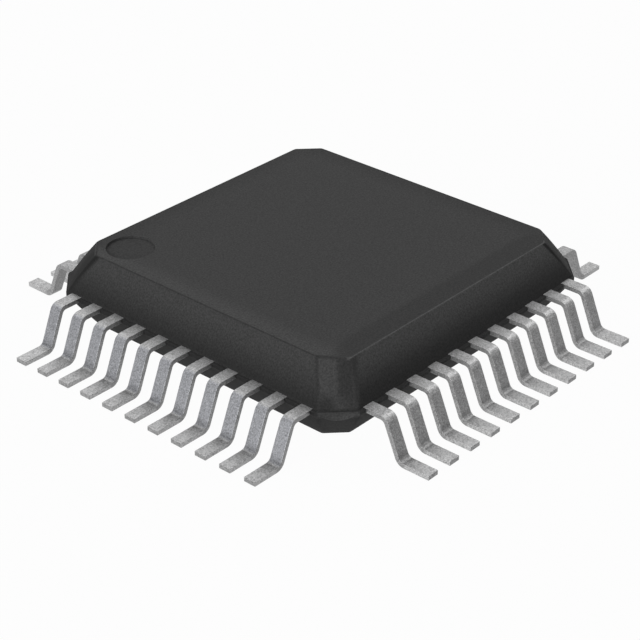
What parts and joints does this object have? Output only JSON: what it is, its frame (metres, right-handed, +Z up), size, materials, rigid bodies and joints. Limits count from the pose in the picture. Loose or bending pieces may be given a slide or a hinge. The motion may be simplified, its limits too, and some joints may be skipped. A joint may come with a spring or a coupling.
{
  "type": "quad flat pack chip",
  "caption": "Square surface-mount chip in a dark moulded body with cut corners, a round pin 1 dimple and gull-wing leads on all sides.",
  "frame": {"origin": "centre of the seating plane, on which all the lead soles stand", "axes": "+Z up through the centre of the body; the pin 1 corner is at -X, +Y and pins are counted anticlockwise seen from above, down the -X side first"},
  "size_m": [0.014, 0.014, 0.0022],
  "materials": {
    "moulding_compound": "fine matte grain of filled epoxy",
    "tin_plating": "matte tin",
    "copper_alloy": "bare copper alloy",
    "silicon": "polished silicon",
    "adhesive": "silver-filled epoxy",
    "gold": "drawn gold wire"
  },
  "bodies": {
    "root": {"moulded_body": "moulding_compound", "lead_01": "tin_plating", "lead_02": "tin_plating", "lead_03": "tin_plating", "lead_04": "tin_plating", "lead_05": "tin_plating", "lead_06": "tin_plating", "lead_07": "tin_plating", "lead_08": "tin_plating", "lead_09": "tin_plating", "lead_10": "tin_plating", "lead_11": "tin_plating", "lead_12": "tin_plating", "lead_13": "tin_plating", "lead_14": "tin_plating", "lead_15": "tin_plating", "lead_16": "tin_plating", "lead_17": "tin_plating", "lead_18": "tin_plating", "lead_19": "tin_plating", "lead_20": "tin_plating", "lead_21": "tin_plating", "lead_22": "tin_plating", "lead_23": "tin_plating", "lead_24": "tin_plating", "lead_25": "tin_plating", "lead_26": "tin_plating", "lead_27": "tin_plating", "lead_28": "tin_plating", "lead_29": "tin_plating", "lead_30": "tin_plating", "lead_31": "tin_plating", "lead_32": "tin_plating", "lead_33": "tin_plating", "lead_34": "tin_plating", "lead_35": "tin_plating", "lead_36": "tin_plating", "lead_37": "tin_plating", "lead_38": "tin_plating", "lead_39": "tin_plating", "lead_40": "tin_plating", "lead_41": "tin_plating", "lead_42": "tin_plating", "lead_43": "tin_plating", "lead_44": "tin_plating", "die_pad": "copper_alloy", "die_attach": "adhesive", "die": "silicon", "bond_wires_left": "gold", "bond_wires_front": "gold", "bond_wires_right": "gold", "bond_wires_rear": "gold"}
  },
  "joints": []
}
